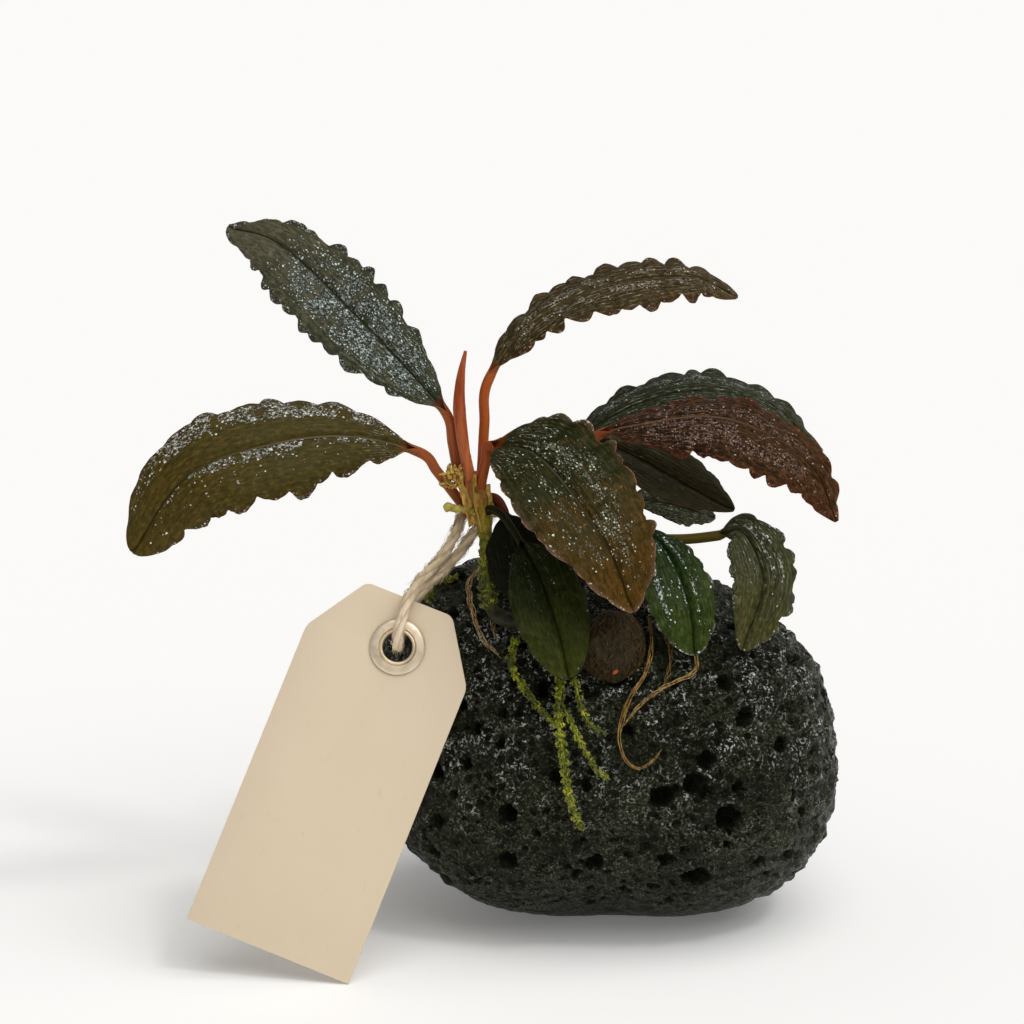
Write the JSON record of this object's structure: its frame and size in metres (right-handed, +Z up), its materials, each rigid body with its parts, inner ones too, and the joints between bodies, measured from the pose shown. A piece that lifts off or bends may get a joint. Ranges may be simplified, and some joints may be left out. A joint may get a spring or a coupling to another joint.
{
  "type": "bucephalandra on lava stone",
  "caption": "Small water plant with dark ruffled leaves rooted on a rounded pitted lava stone, with a blank paper tag tied on by a cotton string.",
  "frame": {"origin": "middle of the stone's flat resting face, on the surface that the stone stands on", "axes": "+Z up, the front with the tag and the mossy roots looks along -Y, +X to the right as seen from the front"},
  "size_m": [0.1388, 0.083, 0.141],
  "materials": {
    "lava_stone": "matte, porous, with small wet glints",
    "rhizome_bark": "matte, fibrous",
    "mossy_stem": "matte, moss over living stem",
    "new_shoot": "gloss, waxy living leaf",
    "leaf_grey_green": "satin, with silvery raised glints",
    "leaf_olive": "satin, with silvery raised glints",
    "leaf_brown": "satin, with silvery raised glints",
    "leaf_red_brown": "satin, with silvery raised glints",
    "leaf_deep_green": "gloss, waxy living leaf",
    "moss": "matte, fine leafy strands",
    "brown_root": "matte, thin fibrous root",
    "sheath_fibre": "matte, dry fibres",
    "tag_card": "matte, uncoated cream card",
    "tag_eyelet": "polished, pale plated metal",
    "tag_string": "matte, twisted natural cotton"
  },
  "bodies": {
    "root": {"stone": "lava_stone", "rhizome_knob": "rhizome_bark", "left_stem": "mossy_stem", "right_stem": "rhizome_bark", "new_shoot": "new_shoot", "leaf_upper_left": "leaf_grey_green", "leaf_left": "leaf_olive", "leaf_upper_right": "leaf_brown", "leaf_front": "leaf_olive", "leaf_right_back": "leaf_grey_green", "leaf_right_red": "leaf_red_brown", "leaf_right_dark": "leaf_brown", "leaf_small_back": "leaf_grey_green", "leaf_right_green": "leaf_deep_green", "leaf_right_curled": "leaf_olive", "leaf_low_front": "leaf_deep_green", "leaf_low_shaded": "leaf_deep_green", "mossy_root_main": "moss", "mossy_root_left": "moss", "mossy_root_right": "moss", "mossy_root_low": "moss", "brown_root_left": "brown_root", "brown_root_fine": "brown_root", "brown_root_hook": "brown_root", "brown_root_right": "brown_root", "brown_root_short": "brown_root", "moss_shoulder": "moss", "moss_tuft": "moss", "moss_spur": "moss", "crown_fibres": "sheath_fibre", "tag_card": "tag_card", "tag_eyelet": "tag_eyelet", "tag_string": "tag_string"}
  },
  "joints": []
}
